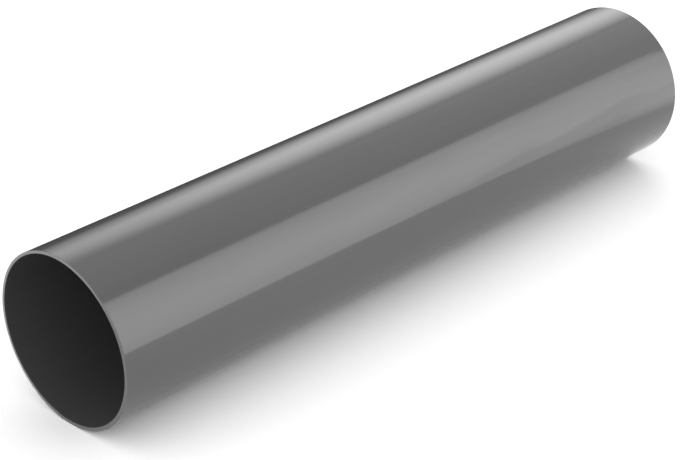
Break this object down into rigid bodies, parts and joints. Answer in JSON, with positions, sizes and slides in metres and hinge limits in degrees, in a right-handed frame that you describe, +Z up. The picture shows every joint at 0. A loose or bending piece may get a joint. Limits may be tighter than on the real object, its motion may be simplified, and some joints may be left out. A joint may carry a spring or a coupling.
{
  "type": "downpipe",
  "caption": "Straight plain-ended length of round grey plastic rainwater downpipe, thin-walled and open at both ends, lying on its side.",
  "frame": {"origin": "on the floor under the middle of the lying pipe: the centre of the box's bottom face", "axes": "+Y along the pipe from the near end to the far end, +Z up, +X to the side; the pipe's axis is 55 mm above the origin"},
  "size_m": [0.11, 0.513, 0.11],
  "materials": {
    "grey_plastic": "extruded rigid plastic, smooth and glossy outside, paler and matt where the ends are sawn"
  },
  "bodies": {
    "root": {"pipe": "grey_plastic"}
  },
  "joints": []
}
